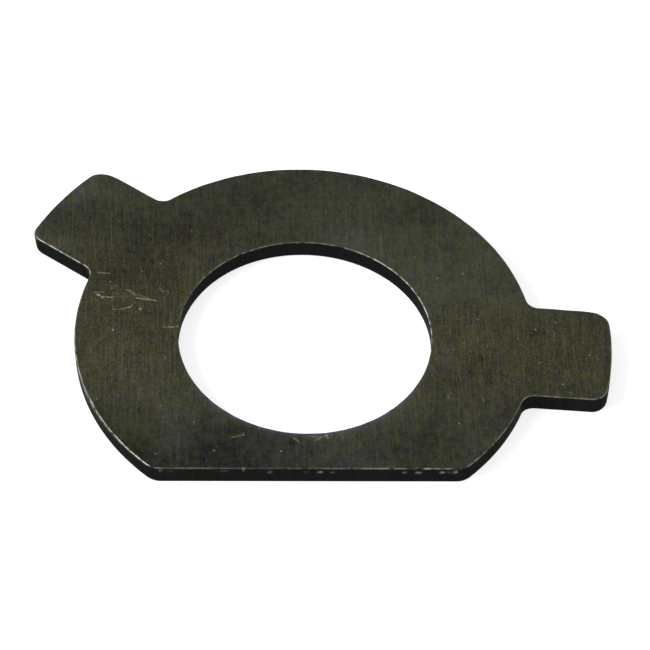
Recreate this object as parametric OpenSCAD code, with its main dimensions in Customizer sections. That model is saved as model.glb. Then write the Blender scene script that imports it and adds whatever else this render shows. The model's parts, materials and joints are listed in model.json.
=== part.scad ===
// Thrust washer: a flat ring stamped from steel strip, with a flat on its
// near side and two square ears that keep it from turning in its housing.
// The origin is on the axis of the bore, at the lower face, and +Z points
// from the lower face to the upper one.

/* [Ring] */
// Diameter of the round part of the outline
ring_d = 57; // [54:0.5:64]
// Diameter of the bore that the shaft passes through
bore_d = 31.4; // [24:0.1:36]
// Thickness of the strip
plate_t = 2.5; // [1.5:0.1:4]

/* [Flat] */
// Distance from the axis of the bore to the flat
flat_distance = 21.3; // [20:0.1:24]
// Radius that rounds each end of the flat
flat_corner_r = 2.5; // [1:0.1:5]

/* [Ears] */
// Diameter of the circle about the bore that both ear tips lie on
ear_circle_d = 76.2; // [72:0.1:86]
// Width across each ear
ear_w = 14.5; // [8:0.1:18]
// Direction of the right-hand ear, anticlockwise from +X
right_ear_angle = -4.8; // [-10:0.1:20]
// Direction of the left-hand ear, anticlockwise from +X
left_ear_angle = 142.9; // [100:0.1:170]
// Radius on the two corners of an ear's tip
tip_corner_r = 2; // [0.5:0.1:3.5]
// Radius of the fillets where an ear joins the ring
root_fillet_r = 1.7; // [0.5:0.1:2.5]

/* [Edges] */
// Width of the bevel that tumbling leaves on the upper edges
upper_bevel = 0.2; // [0.1:0.05:0.4]
// Width of the bevel that the press leaves on the lower edges
lower_bevel = 0.3; // [0.1:0.05:0.4]

/* [Hidden] */

steel_colour = "#3d4036";
$fn = 180;

ring_r = ring_d / 2;
bore_r = bore_d / 2;
ear_circle_r = ear_circle_d / 2;
ear_half_w = ear_w / 2;

// How far a rounding overshoots its two neighbours, so that they cross
// cleanly where they would otherwise only touch
overshoot = 0.003;
// How far a cut runs past the surface that it opens
run_out = 1;

// The point at height v that lies r from the origin, on its +X side
function at_height(r, v) = [sqrt(r * r - v * v), v];
// The point in the direction of p that lies r from the origin
function at_distance(p, r) = p * r / norm(p);
// Where the line from a to b comes to when it runs on past b
function past(a, b, extra) = b + (b - a) * extra / norm(b - a);

// Centres of the three kinds of rounding, each tangent to both its neighbours
tip_corner_c = at_height(ear_circle_r - tip_corner_r, ear_half_w - tip_corner_r);
root_fillet_c = at_height(ring_r + root_fillet_r, ear_half_w + root_fillet_r);
flat_corner_c = at_height(ring_r - flat_corner_r, flat_distance - flat_corner_r);

// Plate section from the axis out to r, bevelled at its outer edge
module plate_section(r) {
    polygon([
        [0, 0],
        [r - lower_bevel, 0],
        [r, lower_bevel],
        [r, plate_t - upper_bevel],
        [r - upper_bevel, plate_t],
        [0, plate_t],
    ]);
}

// Section of a hole of radius r, flared by the bevels at both faces
module hole_section(r) {
    polygon([
        [0, -run_out],
        [r + lower_bevel + run_out, -run_out],
        [r, lower_bevel],
        [r, plate_t - upper_bevel],
        [r + upper_bevel + run_out, plate_t + run_out],
        [0, plate_t + run_out],
    ]);
}

module bevelled_disc(r) {
    rotate_extrude() plate_section(r);
}

module flared_hole(r) {
    rotate_extrude() hole_section(r);
}

// Bar along +X from the origin, from y = -near to y = far
module bevelled_bar(length, near, far) {
    rotate([90, 0, 90]) linear_extrude(length) {
        mirror([1, 0]) plate_section(near);
        plate_section(far);
    }
}

// Outline of the wedge between the lines from c through a and through b
module wedge(c, a, b, reach) {
    polygon([c, past(c, a, reach), past(c, (a + b) / 2, reach), past(c, b, reach)]);
}

// What rounding an outside corner takes away, from tangent point a to b
module corner_waste(c, r, a, b) {
    difference() {
        translate([0, 0, -run_out]) linear_extrude(plate_t + 2 * run_out) wedge(c, a, b, r);
        translate(c) bevelled_disc(r + overshoot);
    }
}

// What rounding an inside corner adds, from tangent point a to b
module corner_fillet(c, r, a, b) {
    difference() {
        linear_extrude(plate_t) wedge(c, a, b, r);
        translate(c) flared_hole(r + overshoot);
    }
}

// Round plate with the flat cut across its -Y side
module ring_blank() {
    flat_end = [flat_corner_c.x, flat_distance];
    ring_end = at_distance(flat_corner_c, ring_r);
    difference() {
        intersection() {
            bevelled_disc(ring_r);
            translate([-ring_r, 0, 0]) bevelled_bar(ring_d, flat_distance, ring_d);
        }
        for (side = [0, 1]) mirror([side, 0, 0]) mirror([0, 1, 0])
            corner_waste(flat_corner_c, flat_corner_r, flat_end, ring_end);
    }
}

// One ear along +X, with the fillets that join it to the ring
module ear() {
    side_end = [tip_corner_c.x, ear_half_w];
    tip_end = at_distance(tip_corner_c, ear_circle_r);
    difference() {
        intersection() {
            bevelled_bar(ear_circle_r, ear_half_w, ear_half_w);
            bevelled_disc(ear_circle_r);
        }
        for (side = [0, 1]) mirror([0, side, 0])
            corner_waste(tip_corner_c, tip_corner_r, side_end, tip_end);
    }
    side_start = [root_fillet_c.x, ear_half_w];
    ring_end = at_distance(root_fillet_c, ring_r);
    for (side = [0, 1]) mirror([0, side, 0])
        corner_fillet(root_fillet_c, root_fillet_r, side_start, ring_end);
}

module thrust_washer() {
    color(steel_colour) difference() {
        union() {
            ring_blank();
            for (angle = [right_ear_angle, left_ear_angle]) rotate(angle) ear();
        }
        flared_hole(bore_r);
    }
}

thrust_washer();
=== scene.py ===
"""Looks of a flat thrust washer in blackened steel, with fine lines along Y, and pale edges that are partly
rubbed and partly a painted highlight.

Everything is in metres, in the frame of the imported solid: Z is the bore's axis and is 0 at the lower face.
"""
import json
import math

import bpy
import numpy as np
from mathutils import Matrix, Vector


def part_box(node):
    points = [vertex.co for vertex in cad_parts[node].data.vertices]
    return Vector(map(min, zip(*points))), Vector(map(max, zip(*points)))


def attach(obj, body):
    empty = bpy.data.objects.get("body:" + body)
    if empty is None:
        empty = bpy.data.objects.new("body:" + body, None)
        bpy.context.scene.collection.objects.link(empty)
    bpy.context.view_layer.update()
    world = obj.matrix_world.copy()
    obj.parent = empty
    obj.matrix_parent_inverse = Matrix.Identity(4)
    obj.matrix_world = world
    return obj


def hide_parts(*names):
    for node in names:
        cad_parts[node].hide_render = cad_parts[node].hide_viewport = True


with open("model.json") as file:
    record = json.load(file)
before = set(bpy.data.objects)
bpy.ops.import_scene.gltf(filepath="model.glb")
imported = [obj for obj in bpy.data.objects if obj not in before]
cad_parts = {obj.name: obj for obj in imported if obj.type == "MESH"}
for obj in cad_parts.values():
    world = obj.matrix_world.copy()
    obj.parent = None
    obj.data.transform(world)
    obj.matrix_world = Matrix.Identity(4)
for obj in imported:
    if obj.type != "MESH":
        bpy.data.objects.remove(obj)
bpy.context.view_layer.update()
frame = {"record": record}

MM = 0.001
QUARTER = math.pi / 2
# Stands in for the squared length of a mark that has none
TINY = 1e-6

# Sizes of the washer

MOUNTS = {mount["name"]: mount for mount in frame["record"]["mounts"]}
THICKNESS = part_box("thrust_washer")[1].z
RING_R = 28.5 * MM
EAR_REACH = 38.1 * MM
BORE_R = MOUNTS["bore"]["dims"]["r_mm"] * MM
FLAT_DISTANCE = -MOUNTS["flat"]["pos_m"][1]
FLAT_CORNER_R = 2.5 * MM
TIP_CORNER_R = 2.0 * MM
ROOT_FILLET_R = 1.7 * MM
UPPER_ROUND = 0.2 * MM
LOWER_ROUND = 0.3 * MM
BORE_LOWER_ROUND = 0.24 * MM
# The direction in which the outline's lower edges are sharpest, in degrees from +X, how far round that
# reaches, and how much smaller their round is there
SHARPEST_TOWARDS = 275
SHARPEST_REACH = 35
SHARPER = 0.55
# How much the upper round comes and goes, as a share of it, and how many times along the outline
ROUND_WAVER = 0.20
WAVES = (23, 37, 61)
# How much wider the upper round is on the outline's tight corners that face one way, in degrees from +X
CORNER_ROLL = 0.5 * MM
ROLLED_TOWARDS = 55
# Radius of a corner that counts as fully tight
TIGHT_R = 2.0 * MM
# How softly that begins and ends along the outline, and how many stations on either side it takes in
BLEND_LENGTH = 0.8 * MM
BLEND_STATIONS = 40
# The side whose walls stand out at their upper end: the direction it faces, in degrees from +X, how far
# round that reaches, by how much they stand out there and on a tight corner besides, and the share of
# the pale edge, rubbing and painted highlight alike, that such a corner is spared
FLARED_TOWARDS = 188
FLARED_REACH = 25
FLARE = 0.07 * MM
CORNER_FLARE = 0.12 * MM
FLARE_SPARED = 0.85
# How far the walls lean over their height, towards +X at the lower face
WALL_LEAN = 0.05 * MM
# A place is on the flat where the Y of its outward direction is below this
ALMOST_TOWARDS_FLAT = -0.999

# Rubbing of the upper edges, with a painted highlight on those that face the lamps: the two directions
# that the most highlighted ones face, in degrees from +X, how much of the rubbing all the others get, and
# how much of the highlight those get that face the second direction
HIGHLIT_TOWARDS = 215
HIGHLIT_AGAIN_TOWARDS = 325
LEAST_RUBBED = 0.27
SECOND_HIGHLIT = 0.22
# The worn flank: the direction it faces, in degrees from +X, how far round it reaches, how much lower
# its upper round ends, how strong a painted highlight its wall gets just below that, and how far down
# that fades
FLANK_TOWARDS = 197
FLANK_REACH = 20
FLANK_ROLL = 0.35 * MM
FLANK_HIGHLIGHT = 0.40
FLANK_DEPTH = 0.12 * MM
# Stretches of the flat's pale upper edge, rubbed and painted highlight alike, that are paler or darker:
# middle X and half length in millimetres, and how much
FLAT_WEAR = (
    (-18.5, 0.5, 0.55),
    (-17.1, 0.5, -0.20),
    (-6.0, 2.2, -0.16),
    (-4.5, 13.0, -0.25),
    (8.5, 2.6, 0.25),
    (12.0, 4.0, 0.16),
    (14.4, 0.5, 0.60),
    (16.2, 0.9, 0.30),
    (18.3, 0.5, 0.20),
)

# Fineness of the washer's surface
STATIONS = 1600
LOWER_ROUND_ROWS = 5
WALL_ROWS = 7
UPPER_ROUND_ROWS = 7
UPPER_FACE_ROWS = 14
LOWER_FACE_ROWS = 6

# Nicks below the flat's upper edge: X, height, half length and half height in millimetres, and depth as
# a share of the greatest
NICK_DEPTH = 0.07 * MM
FLAT_NICKS = (
    (-18.6, 2.40, 0.45, 0.10, 1.1),
    (-18.2, 2.00, 0.40, 0.12, 0.9),
    (-16.7, 1.95, 0.40, 0.10, 0.3),
    (-10.2, 1.97, 0.45, 0.10, 0.4),
    (-7.9, 2.30, 0.12, 0.28, 0.7),
    (-4.7, 1.84, 0.22, 0.12, 0.7),
    (-0.3, 1.90, 0.30, 0.10, 0.3),
    (1.4, 1.84, 0.26, 0.13, 1.0),
    (2.9, 1.80, 0.22, 0.10, 0.4),
    (11.6, 1.80, 0.22, 0.11, 0.6),
    (13.3, 1.80, 0.28, 0.13, 1.3),
    (16.2, 1.84, 0.26, 0.13, 1.3),
    (17.0, 1.90, 0.18, 0.10, 0.6),
    (17.8, 1.90, 0.26, 0.18, 1.4),
    (18.3, 2.12, 0.26, 0.18, 1.4),
    (18.7, 2.32, 0.24, 0.14, 1.1),
)

# Scratches on the upper face: X and Y of both ends and width in millimetres, and strength
SCRATCHES = (
    (-25.7, 10.5, -24.3, 10.3, 0.28, 0.58),
    (-24.1, 8.2, -23.2, 8.2, 0.20, 0.25),
    (-26.1, 7.2, -24.9, 7.2, 0.22, 0.45),
    (-26.2, 7.1, -25.4, 6.5, 0.30, 0.50),
    (-25.1, 6.4, -23.9, 6.3, 0.30, 0.70),
    (-23.9, 6.9, -23.0, 6.9, 0.18, 0.22),
    (-23.9, 6.4, -21.6, 6.5, 0.18, 0.28),
    (-22.0, 7.6, -21.0, 6.7, 0.34, 0.60),
    (-20.9, 6.2, -18.5, 5.8, 0.30, 0.85),
    (-20.7, 6.8, -19.2, 6.0, 0.24, 0.45),
    (-23.9, 4.3, -22.8, 4.3, 0.22, 0.40),
    (-22.6, 4.4, -21.7, 4.7, 0.28, 0.60),
    (-21.8, 4.6, -21.1, 5.4, 0.24, 0.50),
    (-18.0, 7.9, -17.6, 7.3, 0.24, 0.40),
    (-17.6, 7.3, -17.0, 7.3, 0.20, 0.22),
    (-17.5, 1.4, -16.3, 1.4, 0.26, 0.75),
    (-16.0, 1.5, -15.5, 1.5, 0.26, 0.75),
    (-17.4, 6.5, -17.4, 1.7, 0.18, 0.18),
    (-9.2, -16.4, -7.9, -16.0, 0.34, 0.26),
    (-7.8, -15.7, -7.8, -16.1, 0.26, 0.42),
    (-1.7, -16.5, -1.1, -17.1, 0.34, 0.45),
    (0.1, -16.2, 1.5, -16.4, 0.26, 0.35),
    (1.0, -16.8, 2.3, -16.0, 0.40, 0.34),
    (2.2, -15.9, 2.4, -16.5, 0.34, 0.55),
    (31.0, 0.7, 31.0, -0.7, 0.20, 0.32),
    (-24.2, 21.0, -24.0, 14.3, 0.22, 0.14),
    (-26.5, 19.0, -26.0, 12.5, 0.20, 0.10),
)

# Small pale dents on the upper face: X, Y and breadth in millimetres, and strength
DENTS = (
    (-25.6, 6.7, 0.56, 1.0),
    (-25.2, 6.3, 0.50, 0.9),
    (-20.4, 4.4, 0.46, 1.4),
    (-23.8, 0.9, 0.40, 1.1),
    (-20.2, 10.7, 0.30, 0.7),
    (-24.2, 8.9, 0.30, 0.5),
    (-24.0, 7.8, 0.34, 0.6),
    (-19.3, 17.0, 0.30, 0.6),
    (-17.3, -3.6, 0.32, 0.6),
    (-17.9, -11.4, 0.34, 0.5),
    (-18.5, -19.0, 0.32, 0.6),
    (-3.3, -18.6, 0.38, 0.8),
    (16.8, 9.7, 0.40, 0.6),
    (20.1, 10.5, 0.36, 0.8),
    (21.6, 2.8, 0.30, 0.8),
    (17.4, -9.8, 0.32, 0.7),
    (21.7, -10.4, 0.30, 0.6),
    (26.4, -0.3, 0.30, 0.7),
    (28.7, 1.2, 0.32, 1.0),
    (31.3, 2.4, 0.30, 0.8),
    (28.9, -4.2, 0.28, 0.7),
    (31.6, -7.8, 0.32, 1.0),
    (35.2, -3.0, 0.30, 0.8),
)

# Soft patches of the oxide: middle X and Y, reach in X and Y in millimetres, and how much lighter
PATCHES = (
    (15, 10, 26, 13, 0.20),
    (-20, 13, 12, 9, -0.19),
    (-24, -4, 8, 8, 0.22),
    (-17, -14, 5, 11, 0.30),
    (-15, -22, 26, 14, -0.45),
    (14, -19, 8, 10, -0.26),
    (-10, 20, 15, 8, -0.21),
    (-26, 20, 11, 5, -0.13),
    (-2, 26, 12, 7, -0.19),
    (-28, 25, 6, 6, 0.28),
    (-30, 15, 7, 4, 0.24),
    (7, 15, 6, 6, 0.30),
    (15, 15, 4, 4, -0.12),
    (15, 21, 6, 6, -0.26),
    (9, 26, 6, 5, -0.20),
    (14, -2, 5, 8, 0.14),
    (10, -12, 7, 6, 0.22),
    (-26, -13, 4, 5, -0.20),
    (27, -13, 7, 6, -0.22),
    (-22, -19, 8, 5, -0.26),
    (-9, -19, 6, 5, -0.16),
)

# Fine bare specks all over: spacing of their cells and reach in millimetres, the share of cells that
# hold one, and strength
SPECKS = (
    (0.8, 0.15, 0.5, 0.35),
    (2.0, 0.20, 0.4, 0.80),
)

# Where the oxide is worn thin and warm: middle X and Y, and reach in X and Y in millimetres
WORN_PATCHES = (
    (-22, 4, 34, 24),
    (26, -3, 30, 14),
)

# Soft patches of another tint: middle X and Y, reach in X and Y in millimetres, and the colour added
TINTED_PATCHES = (
    (-6, -21, 26, 10, (-0.0010, -0.0002, 0.0040)),
    (-16, -14, 5, 7, (-0.0012, 0.0000, 0.0040)),
)

# Bands around the bore's near rim, one worn and one blued: width in millimetres, and the colour added
RIM_BANDS = (
    (1.4, (0.012, 0.013, 0.008)),
    (0.5, (0.020, 0.014, 0.070)),
)
# Reach in Z, in millimetres, of a patch that goes right through the washer
THROUGH = 1000

# Colours of the finish, linear
OXIDE = (0.0433, 0.0453, 0.0302)
THIN_OXIDE = (0.0470, 0.0441, 0.0262)
# Cut walls: dark sheared metal, darkened further as painted shade
CUT_WALL_AND_SHADE = (0.0100, 0.0112, 0.0105)
# Pale edges: partly rubbed metal and partly a painted highlight, also the painted highlight on the worn
# flank's wall
PALE_EDGE_AND_HIGHLIGHT = (0.216, 0.234, 0.182)
BARE_MARK = (0.26, 0.26, 0.17)
# Colours added to the oxide, linear: by its grit, where it is thin, by drifts of hue, and by small grains
GRIT = (0.0445, 0.0445, 0.0370)
THINNING = (0.045, 0.045, 0.018)
RED_OVER_GREEN = (0.0064, -0.0050, 0.0012)
BLUE_OVER_YELLOW = (-0.0012, -0.0030, 0.0114)
TINTED_GRAINS = (0.036, 0.026, 0.060)

# Noises of the finish: fineness along X, Y and Z for each millimetre, seed, and detail
LINES = ((5.5, 0.3, 0.6), 1.0, 1.0)
FINE_GRAIN = ((4.4, 2.6, 4.4), 2.0, 2.0)
MOTTLE = ((1.3, 0.9, 1.3), 3.0, 2.0)
CLOUDS = ((0.22, 0.22, 0.22), 4.0, 2.0)
REDNESS = ((1.2, 0.85, 1.2), 5.0, 2.5)
BLUENESS = ((1.4, 1.0, 1.4), 6.0, 2.5)
WEAR_ALONG_EDGES = ((1.3, 1.3, 1.3), 7.0, 4.0)
STROKES = ((2.8, 0.1, 0.6), 8.0, 1.0)
DRAG_LINES = ((4.5, 4.5, 0.3), 9.0, 2.0)
# Small grains of chance tint, one in every cell: spacing of the cells and reach in millimetres
GRAINS = {"Spacing": 0.9, "Size": 0.26, "Share": 1.0}

# Lightness of the oxide where no patch lies
BASE_TONE = 0.98
# How much each noise counts in the grit, and in how thin the oxide is
LINES_IN_GRIT = 0.22
FINE_IN_GRIT = 0.40
STROKES_IN_GRIT = 0.20
MOTTLE_IN_THINNESS = 0.26
CLOUDS_IN_THINNESS = 0.18
# What is made of a value: it is multiplied by the first number, and the second is added
STROKES_SHARPENED = (1.6, -0.6)
GRIT_WHERE_WORN = (0.65, 0.76)
GRIT_DRAWN_OUT = (0.7, 1.0)
MARKS_BROKEN_UP = (0.9, 0.85)
DRAG_ON_WALLS = (0.28, 1.0)
WEAR_ON_EDGES = (1.4, 0.72)
FLANK_HIGHLIGHT_BROKEN = (0.4, 0.5)
# Roughness of the oxide, and what the lines, the cut walls and the rubbed edges add to it
ROUGHNESS = 0.42
LINES_ROUGHER = 0.04
WALLS_ROUGHER = 0.16
EDGES_ROUGHER = -0.08
# Relief of the lines, of the fine grain and of bare marks, and how high a relief of 1 stands
LINES_RELIEF = 0.6
FINE_RELIEF = 0.4
MARKS_RELIEF = -1.5
RELIEF_HEIGHT = 0.004 * MM
# How much of the light that only grazes the metal it gives back
GRAZING_TINT = (0.52, 0.52, 0.52, 1)

# Camera: where it looks, from which side, and its lens on a sensor of 36 mm
CAMERA_TARGET = Vector((2.5328, 1.8174, 2.5)) * MM
CAMERA_AZIMUTH = math.radians(-3.627)
CAMERA_ELEVATION = math.radians(48.560)
CAMERA_ROLL = math.radians(2.9095)
CAMERA_DISTANCE = 543.466 * MM
CAMERA_LENS = 242.213
SENSOR_WIDTH = 36.0

# Lamps, which face the washer, and the even light around them
AMBIENT_LEVEL = 0.45
KEY_PLACE = Vector((-0.85, -0.22, 0.60))
KEY_SIZE = 0.55
KEY_POWER = 9.0
SIDE_PLACE = Vector((-0.94, 0.41, 0.32))
SIDE_SIZE = 0.45
SIDE_POWER = 7.5
FILL_PLACE = Vector((0.85, -0.30, 0.60))
FILL_SIZE = 0.6
FILL_POWER = 3.5

# Floor: its size and shade, how much light it gives off where it is seen, and how far down it lies
FLOOR_SIZE = 6.0
FLOOR_SHADE = (0.6, 0.6, 0.6, 1)
FLOOR_LIFT = 0.63
FLOOR_GAP = 0.02 * MM


def ear_stretches(half_width):
    """The stretches of one ear, each a length and a turn, and the angle between the ear's middle line
    and the middle of a root fillet, seen from the bore. A fillet's middle is its own radius outside
    both the ring and the ear's side, and a tip corner's middle its own radius inside both the ear
    circle and the side."""
    root_circle = RING_R + ROOT_FILLET_R
    tip_circle = EAR_REACH - TIP_CORNER_R
    root_angle = math.asin((half_width + ROOT_FILLET_R) / root_circle)
    tip_angle = math.asin((half_width - TIP_CORNER_R) / tip_circle)
    side = tip_circle * math.cos(tip_angle) - root_circle * math.cos(root_angle)
    fillet = (ROOT_FILLET_R * (QUARTER - root_angle), root_angle - QUARTER)
    corner = (TIP_CORNER_R * (QUARTER - tip_angle), QUARTER - tip_angle)
    tip = (EAR_REACH * 2 * tip_angle, 2 * tip_angle)
    return [fillet, (side, 0), corner, tip, corner, (side, 0), fillet], root_angle


def outline_stretches():
    """The whole outline, counter-clockwise from the flat's right end, as lengths and turns, and half
    the flat's length. An ear points a quarter turn back from the outward side of its leading face, and
    that face's distance from the bore's axis is half its width."""
    corner_circle = RING_R - FLAT_CORNER_R
    corner_angle = math.asin((FLAT_DISTANCE - FLAT_CORNER_R) / corner_circle)
    half_flat = corner_circle * math.cos(corner_angle)
    corner = (FLAT_CORNER_R * (QUARTER - corner_angle), QUARTER - corner_angle)
    stretches = [corner]
    ring_from = -corner_angle
    for face in ("right_ear_far_side", "left_ear_near_side"):
        side = Vector(MOUNTS[face]["axis"])
        ear, root_angle = ear_stretches(side.dot(Vector(MOUNTS[face]["pos_m"])))
        ear_angle = math.atan2(side.y, side.x) % (2 * math.pi) - QUARTER
        ring_turn = ear_angle - root_angle - ring_from
        stretches += [(RING_R * ring_turn, ring_turn)] + ear
        ring_from = ear_angle + root_angle
    ring_turn = math.pi + corner_angle - ring_from
    stretches += [(RING_R * ring_turn, ring_turn), corner, (2 * half_flat, 0)]
    return stretches, half_flat


def outline_stations():
    """Evenly spaced places along the outline, as complex numbers x + iy: the way gone and the whole
    way, the points, the directions out of the metal, and how sharply it turns. At the share f of a
    stretch the walk has gone along a chord of f * length * sinc(f * turn / 2), headed half-way through
    its turn so far."""
    stretches, half_flat = outline_stretches()
    length, turn = np.array(stretches).T
    heading = np.cumsum(turn) - turn

    def gone(stretch, share):
        bend = share * turn[stretch]
        chord = share * length[stretch] * np.sinc(bend / (2 * np.pi))
        return chord * np.exp(1j * (heading[stretch] + bend / 2))

    whole = gone(np.arange(len(length)), 1.0)
    starts = complex(half_flat, -FLAT_DISTANCE) + np.cumsum(whole) - whole
    passed = np.cumsum(length)
    way = np.linspace(0, passed[-1], STATIONS, endpoint=False)
    stretch = np.searchsorted(passed, way, side="right")
    share = (way - (passed - length)[stretch]) / length[stretch]
    point = starts[stretch] + gone(stretch, share)
    outward = -1j * np.exp(1j * (heading[stretch] + share * turn[stretch]))
    return way, passed[-1], point, outward, (turn / length)[stretch]


def blended_along(values, spacing):
    """Values along the closed outline, each averaged with its neighbours by a bell curve."""
    steps = np.arange(-BLEND_STATIONS, BLEND_STATIONS + 1) * spacing / BLEND_LENGTH
    bell = np.exp(-0.5 * steps ** 2)
    return np.convolve(np.tile(values, 3), bell / bell.sum(), mode="same")[len(values):2 * len(values)]


def facing(directions, towards):
    """How far each direction points towards an angle in degrees: 1 along it, 0 square to it."""
    return np.clip((directions * np.exp(-1j * math.radians(towards))).real, 0, 1)


def near_direction(directions, towards, reach):
    """How close each direction is to an angle in degrees: a bell curve of the angle between them."""
    off = np.degrees(np.angle(directions * np.exp(-1j * math.radians(towards))))
    return np.exp(-(off / reach) ** 2)


def rim_rows():
    """The rows of one rim, from the lower face up to the upper face, as columns: inset as a share of
    the upper and of the lower round, height as a share of the thickness, the upper and the lower round,
    how far the row is cut wall, how far it is upper edge, and whether it is wall below that. A round at
    the angle a is inset by 1 - cos a and lies 1 - sin a from its face."""
    low = np.linspace(-QUARTER, 0, LOWER_ROUND_ROWS)
    zero = np.zeros_like(low)
    lower = np.stack([zero, 1 - np.cos(low), zero, zero, 1 + np.sin(low), np.cos(low), zero, zero], axis=1)
    rise = 1 - (1 - np.linspace(0, 1, WALL_ROWS + 2)[1:-1]) ** 2
    zero = np.zeros_like(rise)
    wall = np.stack([zero, zero, rise, -rise, 1 - rise, zero + 1, zero, zero + 1], axis=1)
    up = np.linspace(0, QUARTER, UPPER_ROUND_ROWS)
    zero = np.zeros_like(up)
    inset = 1 - np.cos(up)
    edge = np.sin(2 * up)
    upper = np.stack([inset, zero, zero + 1, np.sin(up) - 1, zero, np.cos(up) ** 2, edge, zero], axis=1)
    # The upper round begins on the wall
    upper[0, 7] = 1
    return np.concatenate([lower, wall, upper])


def face_rows(count, columns):
    """Rows across a face, closer together near both rims, and how far each lies from outline to bore."""
    across = (1 - np.cos(np.linspace(0, np.pi, count + 2)[1:-1])) / 2
    return np.tile(columns, (count, 1)), across


def section_rows():
    """The closed section as rows: up the outline's rim, over the upper face, down the bore's rim and
    back under the lower face, with how far each row lies from outline to bore."""
    rim = rim_rows()
    upper, over = face_rows(UPPER_FACE_ROWS, rim[-1])
    lower, under = face_rows(LOWER_FACE_ROWS, rim[0])
    rows = np.concatenate([rim, upper, rim[::-1], lower])
    across = np.concatenate([np.zeros(len(rim)), over, np.ones(len(rim)), under[::-1]])
    return rows, across


def nick_depths(x, z):
    """How deep the flat's nicks are at each place on it, from 0 to 1: a sum of bell-shaped hollows."""
    depth = np.zeros_like(x)
    for middle_x, middle_z, half_length, half_height, share in FLAT_NICKS:
        off_x = (x - middle_x * MM) / (half_length * MM)
        off_z = (z - middle_z * MM) / (half_height * MM)
        depth += share * np.exp(-(off_x ** 2) - off_z ** 2)
    return np.minimum(depth, 1)


def flat_wear(x):
    """How much more than elsewhere the flat's upper edge is rubbed: a sum of bell curves along X."""
    wear = np.zeros_like(x)
    for middle, half_length, share in FLAT_WEAR:
        wear += share * np.exp(-((x / MM - middle) / half_length) ** 2)
    return wear


def edge_rounds(way, whole, outward, tight):
    """The rounds at each station: the outline's upper round, how far below the upper face it ends, the
    outline's lower round, and the bore's upper round. The upper rounds swell and shrink along the edge
    by a sum of three waves. The outline's is wider on the tight corners that face one way, and ends
    lower on the worn flank. Its lower round is smaller near the direction in which the lower edges are
    sharpest."""
    waver = sum(np.sin(2 * np.pi * turns * way / whole + turns) for turns in WAVES) / len(WAVES)
    bore_round = (UPPER_ROUND * (1 + ROUND_WAVER * (waver - 1)))[:, None]
    outline_round = bore_round + (CORNER_ROLL * tight * facing(outward, ROLLED_TOWARDS))[:, None]
    outline_drop = outline_round + FLANK_ROLL * near_direction(outward, FLANK_TOWARDS, FLANK_REACH)[:, None]
    sharpest = near_direction(outward, SHARPEST_TOWARDS, SHARPEST_REACH)[:, None]
    return outline_round, outline_drop, LOWER_ROUND * (1 - SHARPER * sharpest), bore_round


def edge_rubbing_and_highlight(side, spared, more):
    """How pale the upper edges are: rubbed all round, with a painted highlight by the side that they face,
    and more or less on the flat.
    """
    rubbing_and_highlight = LEAST_RUBBED + (1 - LEAST_RUBBED) * facing(side, HIGHLIT_TOWARDS) ** 2
    rubbing_and_highlight += SECOND_HIGHLIT * facing(side, HIGHLIT_AGAIN_TOWARDS) ** 2
    return (rubbing_and_highlight + more) * (1 - FLARE_SPARED * spared)


def washer_surface():
    """The washer's skin on a grid of stations along the outline and rows around the section. Each row
    runs between the outline, moved in by its inset, and the point of the bore in the same direction,
    moved out by its own inset. On one side the outline is moved out towards the upper face, and all
    walls lean by a small share of their height. The flat's nicks are hollows pressed straight into it.
    Returns the points and the masks."""
    way, whole, outline, outward, bend = outline_stations()
    rows, across = section_rows()
    on_outline = across == 0
    from_bore = outline / np.abs(outline)
    tight = np.clip(blended_along(bend * TIGHT_R, way[1]), 0, 1)
    outline_round, outline_drop, outline_low, bore_round = edge_rounds(way, whole, outward, tight)
    upper_round = np.where(on_outline, outline_drop, bore_round)
    lower_round = np.where(on_outline, outline_low, BORE_LOWER_ROUND)
    flared_side = near_direction(outward, FLARED_TOWARDS, FLARED_REACH)
    flare = (flared_side * (FLARE + CORNER_FLARE * tight))[:, None]
    inset = rows[:, 0] * outline_round + rows[:, 1] * outline_low - flare * rows[:, 2]
    outer = outline[:, None] - inset * outward[:, None]
    inner = (BORE_R + rows[:, 0] * bore_round + rows[:, 1] * BORE_LOWER_ROUND) * from_bore[:, None]
    plan = (1 - across) * outer + across * inner
    height = rows[:, 2] * THICKNESS + rows[:, 3] * upper_round + rows[:, 4] * lower_round
    plan = plan + WALL_LEAN * (1 - height / THICKNESS)
    on_flat = (outward.imag < ALMOST_TOWARDS_FLAT)[:, None] & on_outline
    nick = np.where(on_flat, nick_depths(plan.real, height), 0)
    plan = plan - nick * NICK_DEPTH * outward[:, None]
    points = np.stack([plan.real, plan.imag, height], axis=2)

    side = np.where(on_outline, outward[:, None], -from_bore[:, None])
    spared = (flared_side * tight)[:, None] * on_outline
    # Rubbing all round, and a painted highlight on the edges that face the lamps
    rubbing_and_highlight = edge_rubbing_and_highlight(side, spared, np.where(on_flat, flat_wear(plan.real), 0))
    # A painted highlight on the worn flank's wall, fading downwards below its upper round
    below = (THICKNESS - upper_round - height) / FLANK_DEPTH
    flank = near_direction(side, FLANK_TOWARDS, FLANK_REACH) * on_outline
    return points, {
        "cut_wall": np.broadcast_to(rows[:, 5], nick.shape),
        "rubbed_and_highlit_edge": rows[:, 6] * rubbing_and_highlight,
        "painted_flank_highlight": rows[:, 7] * flank * FLANK_HIGHLIGHT * np.exp(-below),
        "nick": nick,
    }


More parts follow.
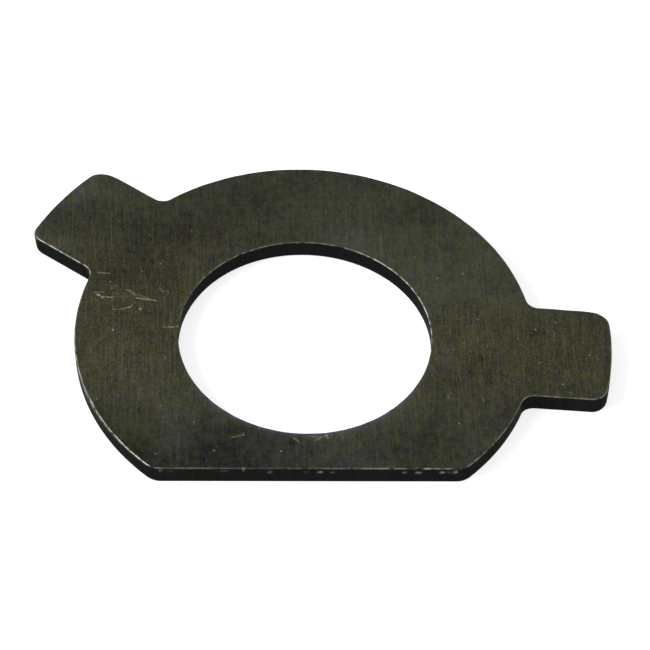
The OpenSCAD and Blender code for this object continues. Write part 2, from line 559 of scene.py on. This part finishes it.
def closed_mesh(name, points, masks):
    """A mesh of quads on a grid that closes on itself both ways, with the masks as attributes."""
    around, along = points.shape[:2]
    first = np.arange(around * along).reshape(around, along)
    after = np.roll(first, -1, axis=0)
    quads = np.stack([first, after, np.roll(after, -1, axis=1), np.roll(first, -1, axis=1)], axis=2)
    mesh = bpy.data.meshes.new(name)
    mesh.from_pydata(points.reshape(-1, 3), [], quads.reshape(-1, 4).tolist())
    mesh.polygons.foreach_set("use_smooth", np.ones(around * along, dtype=bool))
    for label, mask in masks.items():
        layer = mesh.attributes.new(label, "FLOAT", "POINT")
        layer.data.foreach_set("value", mask.astype(np.float32).ravel())
    mesh.update()
    made = bpy.data.objects.new(name, mesh)
    bpy.context.scene.collection.objects.link(made)
    return made


def add_node(tree, kind, inputs=(), **settings):
    """Adds a node with these settings. Among its inputs, a socket is linked and a plain value is set."""
    made = tree.nodes.new(kind)
    for label, value in settings.items():
        setattr(made, label, value)
    for key, value in dict(inputs).items():
        if isinstance(value, bpy.types.NodeSocket):
            tree.links.new(value, made.inputs[key])
        else:
            made.inputs[key].default_value = value
    return made


def sum_of(tree, operation, *values):
    """The result of one Math node."""
    return add_node(tree, "ShaderNodeMath", enumerate(values), operation=operation).outputs[0]


def vector_of(tree, operation, *values):
    """The result of one Vector Math node: a number for a length or a dot product, or else a vector."""
    keys = (0, "Scale") if operation == "SCALE" else range(len(values))
    made = add_node(tree, "ShaderNodeVectorMath", zip(keys, values), operation=operation)
    return made.outputs["Value" if operation in ("LENGTH", "DOT_PRODUCT") else "Vector"]


def blend_of(tree, share, first, second):
    """A colour that goes from the first to the second with the share."""
    made = add_node(tree, "ShaderNodeMix", data_type="RGBA", inputs={0: share, 6: first, 7: second})
    return made.outputs[2]


def clipped(tree, value):
    """The value held between 0 and 1."""
    return add_node(tree, "ShaderNodeClamp", {0: value}).outputs[0]


def new_group(name, takes, gives):
    """An empty node group and its two ends. Its inputs and outputs are names and kinds of sockets."""
    tree = bpy.data.node_groups.new(name, "ShaderNodeTree")
    for in_out, sockets in (("INPUT", takes), ("OUTPUT", gives)):
        for label, kind in sockets.items():
            tree.interface.new_socket(label, in_out=in_out, socket_type="NodeSocket" + kind)
    inlet = tree.nodes.new("NodeGroupInput")
    outlet = tree.nodes.new("NodeGroupOutput")
    return tree, inlet.outputs, outlet.inputs


def grain_group():
    """Noise stretched along the axes. Tone is the noise less a half, times 4, and runs from about -1 to
    1. Stretch is its fineness for each millimetre."""
    takes = {"Position": "Vector", "Stretch": "Vector", "Seed": "Float", "Detail": "Float"}
    tree, given, result = new_group("Stretched grain", takes, {"Tone": "Float"})
    place = vector_of(tree, "MULTIPLY", given["Position"], given["Stretch"])
    inputs = {"Vector": place, "W": given["Seed"], "Detail": given["Detail"], "Scale": 1.0}
    noise = add_node(tree, "ShaderNodeTexNoise", inputs, noise_dimensions="4D")
    middle = sum_of(tree, "SUBTRACT", noise.outputs["Fac"], 0.5)
    tree.links.new(sum_of(tree, "MULTIPLY", middle, 4.0), result["Tone"])
    return tree


def mark_group():
    """A straight scratch seen from above, or a dent where its ends are one. Mask is 1 - r * r, where r
    is the distance from the line between its ends as a share of half its width."""
    takes = {"Place": "Vector", "From": "Vector", "To": "Vector", "Width": "Float"}
    tree, given, result = new_group("Drawn mark", takes, {"Mask": "Float"})
    way = vector_of(tree, "SUBTRACT", given["To"], given["From"])
    offset = vector_of(tree, "SUBTRACT", given["Place"], given["From"])
    squared = sum_of(tree, "MAXIMUM", vector_of(tree, "DOT_PRODUCT", way, way), TINY)
    share = clipped(tree, sum_of(tree, "DIVIDE", vector_of(tree, "DOT_PRODUCT", offset, way), squared))
    nearest = vector_of(tree, "SCALE", way, share)
    apart = vector_of(tree, "LENGTH", vector_of(tree, "SUBTRACT", offset, nearest))
    off = sum_of(tree, "DIVIDE", apart, sum_of(tree, "MULTIPLY", given["Width"], 0.5))
    inside = sum_of(tree, "SUBTRACT", 1.0, sum_of(tree, "POWER", off, 2.0))
    tree.links.new(clipped(tree, inside), result["Mask"])
    return tree


def patch_group():
    """A soft oval patch. Mask is (1 - r * r) squared, where r is the distance from its middle as a
    share of its reach."""
    takes = {"Position": "Vector", "Middle": "Vector", "Reach": "Vector"}
    tree, given, result = new_group("Soft patch", takes, {"Mask": "Float"})
    offset = vector_of(tree, "SUBTRACT", given["Position"], given["Middle"])
    share = vector_of(tree, "LENGTH", vector_of(tree, "DIVIDE", offset, given["Reach"]))
    inside = clipped(tree, sum_of(tree, "SUBTRACT", 1.0, sum_of(tree, "POWER", share, 2.0)))
    tree.links.new(sum_of(tree, "POWER", inside, 2.0), result["Mask"])
    return tree


def speck_group():
    """Scattered small specks, at most one in each cell of about Spacing. Share is how many of the cells
    hold one. Mask is as strong as the speck, by chance. Tint is a chance colour less mid grey, in every
    cell's speck."""
    takes = {"Position": "Vector", "Spacing": "Float", "Size": "Float", "Share": "Float"}
    tree, given, result = new_group("Scattered specks", takes, {"Mask": "Float", "Tint": "Vector"})
    scale = sum_of(tree, "DIVIDE", 1.0, given["Spacing"])
    cells = add_node(tree, "ShaderNodeTexVoronoi", {"Vector": given["Position"], "Scale": scale})
    reach = sum_of(tree, "DIVIDE", given["Size"], given["Spacing"])
    share = sum_of(tree, "DIVIDE", cells.outputs["Distance"], reach)
    inside = clipped(tree, sum_of(tree, "SUBTRACT", 1.0, share))
    chance = add_node(tree, "ShaderNodeSeparateXYZ", {0: cells.outputs["Color"]}).outputs
    held = sum_of(tree, "MULTIPLY", inside, sum_of(tree, "LESS_THAN", chance[0], given["Share"]))
    tree.links.new(sum_of(tree, "MULTIPLY", held, chance[1]), result["Mask"])
    middle = vector_of(tree, "SUBTRACT", cells.outputs["Color"], (0.5, 0.5, 0.5))
    tree.links.new(vector_of(tree, "SCALE", middle, inside), result["Tint"])
    return tree


def rim_group():
    """A soft band around the bore, seen from above. Mask falls from 1 to 0 over Width beyond Radius,
    and is held to the side towards -Y by the square of how far the place lies that way."""
    takes = {"Place": "Vector", "Radius": "Float", "Width": "Float"}
    tree, given, result = new_group("Rim band", takes, {"Mask": "Float"})
    away = vector_of(tree, "LENGTH", given["Place"])
    beyond = sum_of(tree, "DIVIDE", sum_of(tree, "SUBTRACT", away, given["Radius"]), given["Width"])
    band = clipped(tree, sum_of(tree, "SUBTRACT", 1.0, beyond))
    towards = sum_of(tree, "DIVIDE", vector_of(tree, "DOT_PRODUCT", given["Place"], (0, -1, 0)), away)
    share = sum_of(tree, "POWER", clipped(tree, towards), 2.0)
    tree.links.new(sum_of(tree, "MULTIPLY", band, share), result["Mask"])
    return tree


def attribute(tree, label):
    """One of the washer's masks."""
    return add_node(tree, "ShaderNodeAttribute", attribute_name=label).outputs["Fac"]


def effect_of(tree, effect, inputs, output="Mask"):
    """What an effect gives with these inputs."""
    return add_node(tree, "ShaderNodeGroup", inputs, node_tree=effect).outputs[output]


def grained(tree, grain, at, noise):
    """One of the finish's noises."""
    stretch, seed, detail = noise
    inputs = {"Position": at, "Stretch": stretch, "Seed": seed, "Detail": detail}
    return effect_of(tree, grain, inputs, "Tone")


def patched(tree, patch, at, place):
    """The mask of a soft patch right through the washer. Its place is middle X and Y, and reach in both."""
    x, y, reach_x, reach_y = place
    inputs = {"Position": at, "Middle": (x, y, 0), "Reach": (reach_x, reach_y, THROUGH)}
    return effect_of(tree, patch, inputs)


def oxide_grit(tree, grain, at, lines, fine, worn):
    """The grit of the oxide: lines, fine grain and sharpened strokes, stronger where the oxide is worn
    thin, with its pale side drawn out."""
    strokes = sum_of(tree, "MULTIPLY_ADD", grained(tree, grain, at, STROKES), *STROKES_SHARPENED)
    grit = sum_of(tree, "MULTIPLY_ADD", lines, LINES_IN_GRIT, sum_of(tree, "MULTIPLY", fine, FINE_IN_GRIT))
    grit = sum_of(tree, "MULTIPLY_ADD", clipped(tree, strokes), STROKES_IN_GRIT, grit)
    grit = sum_of(tree, "MULTIPLY", grit, sum_of(tree, "MULTIPLY_ADD", worn, *GRIT_WHERE_WORN))
    return sum_of(tree, "MULTIPLY", grit, sum_of(tree, "MULTIPLY_ADD", grit, *GRIT_DRAWN_OUT))


def oxide_colour(tree, effects, at, lines, fine):
    """The oxide's colour: thin where it is worn, with soft patches of tone and tint, grit, a thickness
    that comes and goes, drifts of red and blue, and small grains of chance tint."""
    grain, patch = effects["grain"], effects["patch"]
    worn = 0.0
    for place in WORN_PATCHES:
        worn = sum_of(tree, "MULTIPLY_ADD", patched(tree, patch, at, place), 1.0, worn)
    worn = clipped(tree, worn)
    grit = oxide_grit(tree, grain, at, lines, fine, worn)
    tone = BASE_TONE
    for *place, amount in PATCHES:
        tone = sum_of(tree, "MULTIPLY_ADD", patched(tree, patch, at, place), amount, tone)
    colour = vector_of(tree, "SCALE", blend_of(tree, worn, (*OXIDE, 1), (*THIN_OXIDE, 1)), tone)
    for *place, tint in TINTED_PATCHES:
        colour = vector_of(tree, "MULTIPLY_ADD", patched(tree, patch, at, place), tint, colour)
    colour = vector_of(tree, "MULTIPLY_ADD", sum_of(tree, "MULTIPLY", grit, tone), GRIT, colour)
    clouds = sum_of(tree, "MULTIPLY", grained(tree, grain, at, CLOUDS), CLOUDS_IN_THINNESS)
    thinned = sum_of(tree, "MULTIPLY_ADD", grained(tree, grain, at, MOTTLE), MOTTLE_IN_THINNESS, clouds)
    colour = vector_of(tree, "MULTIPLY_ADD", thinned, THINNING, colour)
    for noise, tint in ((REDNESS, RED_OVER_GREEN), (BLUENESS, BLUE_OVER_YELLOW)):
        drift = sum_of(tree, "MULTIPLY", grained(tree, grain, at, noise), tone)
        colour = vector_of(tree, "MULTIPLY_ADD", drift, tint, colour)
    grains = effect_of(tree, effects["speck"], {"Position": at, **GRAINS}, "Tint")
    return vector_of(tree, "MULTIPLY_ADD", grains, TINTED_GRAINS, colour)


def bare_marks(tree, effects, at, place, broken):
    """How far bare metal shows: scratches and dents on the upper face, broken up by the grain, and
    specks all over."""
    height = add_node(tree, "ShaderNodeSeparateXYZ", {0: at}).outputs[2]
    upper = sum_of(tree, "GREATER_THAN", height, 0.5 * THICKNESS / MM)
    dents = [(x, y, x, y, breadth, strength) for x, y, breadth, strength in DENTS]
    marks = 0.0
    for from_x, from_y, to_x, to_y, width, strength in (*SCRATCHES, *dents):
        inputs = {"Place": place, "From": (from_x, from_y, 0), "To": (to_x, to_y, 0), "Width": width}
        marks = sum_of(tree, "MULTIPLY_ADD", effect_of(tree, effects["mark"], inputs), strength, marks)
    bare = sum_of(tree, "MULTIPLY", sum_of(tree, "MULTIPLY", marks, upper), broken)
    for spacing, size, share, amount in SPECKS:
        inputs = {"Position": at, "Spacing": spacing, "Size": size, "Share": share}
        bare = sum_of(tree, "MULTIPLY_ADD", effect_of(tree, effects["speck"], inputs), amount, bare)
    return clipped(tree, bare)


def edge_wear_and_highlight(tree, grain, at):
    """How pale the upper edges are, from rubbing and a painted highlight, and the painted highlight on the
    worn flank's wall, which come and go along them.
    """
    along_edge = grained(tree, grain, at, WEAR_ALONG_EDGES)
    wear = clipped(tree, sum_of(tree, "MULTIPLY_ADD", along_edge, *WEAR_ON_EDGES))
    rubbed_and_highlit = sum_of(tree, "MULTIPLY", attribute(tree, "rubbed_and_highlit_edge"), wear)
    # The worn flank's wall gets a painted highlight, broken up by the same noise
    wear = sum_of(tree, "MULTIPLY_ADD", wear, *FLANK_HIGHLIGHT_BROKEN)
    return sum_of(tree, "MULTIPLY_ADD", attribute(tree, "painted_flank_highlight"), wear, rubbed_and_highlit)


def blackened_steel():
    """Blackened steel: olive oxide over fine lines along Y, bands around the bore's rim, cut walls with drag
    lines, darkened partly as painted shade, pale edges that are partly rubbed and partly a painted
    highlight, a painted highlight on the worn flank's wall, and bare metal in scratches, dents, specks and
    nicks."""
    material = bpy.data.materials.new("blackened_steel")
    material.use_nodes = True
    tree = material.node_tree
    tree.nodes.clear()
    grain = grain_group()
    effects = {"grain": grain, "mark": mark_group(), "patch": patch_group(), "speck": speck_group()}
    at = add_node(tree, "ShaderNodeTexCoord").outputs["Object"]
    at = vector_of(tree, "MULTIPLY", at, (1 / MM, 1 / MM, 1 / MM))
    place = vector_of(tree, "MULTIPLY", at, (1, 1, 0))

    lines = grained(tree, grain, at, LINES)
    fine = grained(tree, grain, at, FINE_GRAIN)
    colour = oxide_colour(tree, effects, at, lines, fine)
    rim = rim_group()
    for width, tint in RIM_BANDS:
        inputs = {"Place": place, "Radius": (BORE_R + UPPER_ROUND) / MM, "Width": width}
        colour = vector_of(tree, "MULTIPLY_ADD", effect_of(tree, rim, inputs), tint, colour)

    wall = attribute(tree, "cut_wall")
    drag = sum_of(tree, "MULTIPLY_ADD", grained(tree, grain, at, DRAG_LINES), *DRAG_ON_WALLS)
    # The cut walls take their dark colour, partly a painted shade, with drag lines
    colour = blend_of(tree, wall, colour, vector_of(tree, "SCALE", CUT_WALL_AND_SHADE, drag))
    rubbed_and_highlit = edge_wear_and_highlight(tree, grain, at)
    # Pale edges and the flank's wall: rubbed metal and painted highlight
    colour = blend_of(tree, rubbed_and_highlit, colour, (*PALE_EDGE_AND_HIGHLIGHT, 1))
    broken = clipped(tree, sum_of(tree, "MULTIPLY_ADD", fine, *MARKS_BROKEN_UP))
    bare = bare_marks(tree, effects, at, place, broken)
    bare = sum_of(tree, "MULTIPLY", bare, sum_of(tree, "SUBTRACT", 1.0, wall))
    bare = sum_of(tree, "MAXIMUM", bare, sum_of(tree, "MULTIPLY", attribute(tree, "nick"), broken))
    colour = blend_of(tree, bare, colour, (*BARE_MARK, 1))

    rough = sum_of(tree, "MULTIPLY_ADD", lines, LINES_ROUGHER, ROUGHNESS)
    rough = sum_of(tree, "MULTIPLY_ADD", wall, WALLS_ROUGHER, rough)
    rough = sum_of(tree, "MULTIPLY_ADD", rubbed_and_highlit, EDGES_ROUGHER, rough)
    relief = sum_of(tree, "MULTIPLY_ADD", bare, MARKS_RELIEF, sum_of(tree, "MULTIPLY", lines, LINES_RELIEF))
    relief = sum_of(tree, "MULTIPLY_ADD", fine, FINE_RELIEF, relief)
    bumped = add_node(tree, "ShaderNodeBump", {"Height": relief, "Distance": RELIEF_HEIGHT, "Strength": 1.0})
    inputs = {"Base Color": colour, "Metallic": 1.0, "Roughness": rough, "Normal": bumped.outputs[0]}
    shader = add_node(tree, "ShaderNodeBsdfPrincipled", {**inputs, "Specular Tint": GRAZING_TINT})
    add_node(tree, "ShaderNodeOutputMaterial", {"Surface": shader.outputs[0]})
    return material


def seen_directly(tree):
    """1 for what the camera sees, also mirrored or through glass, and 0 for light that falls on things."""
    rays = add_node(tree, "ShaderNodeLightPath").outputs
    mirrored = sum_of(tree, "MAXIMUM", rays["Is Glossy Ray"], rays["Is Transmission Ray"])
    return sum_of(tree, "MAXIMUM", rays["Is Camera Ray"], mirrored)


def pale_floor():
    """A plain pale floor just under the washer, lifted to white where it is seen, which keeps a light
    shadow. It is clear from below, so that the washer's lower face can be looked at."""
    mesh = bpy.data.meshes.new("floor")
    reach = FLOOR_SIZE / 2
    corners = [(x * reach, y * reach, -FLOOR_GAP) for x, y in ((-1, -1), (1, -1), (1, 1), (-1, 1))]
    mesh.from_pydata(corners, [], [(0, 1, 2, 3)])
    floor = bpy.data.objects.new("floor", mesh)
    bpy.context.scene.collection.objects.link(floor)
    material = bpy.data.materials.new("pale_floor")
    material.use_nodes = True
    tree = material.node_tree
    tree.nodes.clear()
    matt = add_node(tree, "ShaderNodeBsdfDiffuse", {"Color": FLOOR_SHADE})
    lift = sum_of(tree, "MULTIPLY", seen_directly(tree), FLOOR_LIFT)
    glow = add_node(tree, "ShaderNodeEmission", {"Strength": lift})
    both = add_node(tree, "ShaderNodeAddShader", {0: matt.outputs[0], 1: glow.outputs[0]})
    clear = add_node(tree, "ShaderNodeBsdfTransparent")
    from_below = add_node(tree, "ShaderNodeNewGeometry").outputs["Backfacing"]
    shown = add_node(tree, "ShaderNodeMixShader", {0: from_below, 1: both.outputs[0], 2: clear.outputs[0]})
    add_node(tree, "ShaderNodeOutputMaterial", {"Surface": shown.outputs[0]})
    mesh.materials.append(material)


def white_surroundings():
    """A world that is white where it is seen, and gives a plain even light."""
    world = bpy.data.worlds.new("studio")
    world.use_nodes = True
    tree = world.node_tree
    tree.nodes.clear()
    level = add_node(tree, "ShaderNodeMix", {0: seen_directly(tree), 2: AMBIENT_LEVEL, 3: 1.0}).outputs[0]
    light = add_node(tree, "ShaderNodeBackground", {"Color": (1, 1, 1, 1), "Strength": level})
    add_node(tree, "ShaderNodeOutputWorld", {"Surface": light.outputs[0]})
    bpy.context.scene.world = world


def soft_lamp(name, place, size, power):
    """A square lamp that faces the washer."""
    lamp = bpy.data.lights.new(name, "AREA")
    lamp.size = size
    lamp.energy = power
    made = bpy.data.objects.new(name, lamp)
    made.matrix_world = Matrix.Translation(place) @ place.to_track_quat("Z", "Y").to_matrix().to_4x4()
    bpy.context.scene.collection.objects.link(made)


def photo_camera():
    """The camera at the photograph's place: the way back from its target, and a frame turned by a roll."""
    back = Vector((
        math.sin(CAMERA_AZIMUTH) * math.cos(CAMERA_ELEVATION),
        -math.cos(CAMERA_AZIMUTH) * math.cos(CAMERA_ELEVATION),
        math.sin(CAMERA_ELEVATION),
    ))
    level = Vector((math.cos(CAMERA_AZIMUTH), math.sin(CAMERA_AZIMUTH), 0))
    right = Matrix.Rotation(CAMERA_ROLL, 3, back) @ level
    turn = Matrix((right, back.cross(right), back)).transposed()
    data = bpy.data.cameras.new("camera")
    data.sensor_width = SENSOR_WIDTH
    data.lens = CAMERA_LENS
    camera = bpy.data.objects.new("camera", data)
    camera.matrix_world = Matrix.Translation(CAMERA_TARGET + back * CAMERA_DISTANCE) @ turn.to_4x4()
    bpy.context.scene.collection.objects.link(camera)
    bpy.context.scene.camera = camera


def dressed_washer():
    """The washer's own piece, which stands for its solid."""
    washer = closed_mesh("washer_skin", *washer_surface())
    washer.data.materials.append(blackened_steel())
    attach(washer, "root")
    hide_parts("thrust_washer")


photo_camera()
dressed_washer()
pale_floor()
white_surroundings()
soft_lamp("key_lamp", KEY_PLACE, KEY_SIZE, KEY_POWER)
soft_lamp("side_lamp", SIDE_PLACE, SIDE_SIZE, SIDE_POWER)
soft_lamp("fill_lamp", FILL_PLACE, FILL_SIZE, FILL_POWER)
bpy.context.scene.view_settings.view_transform = "Standard"
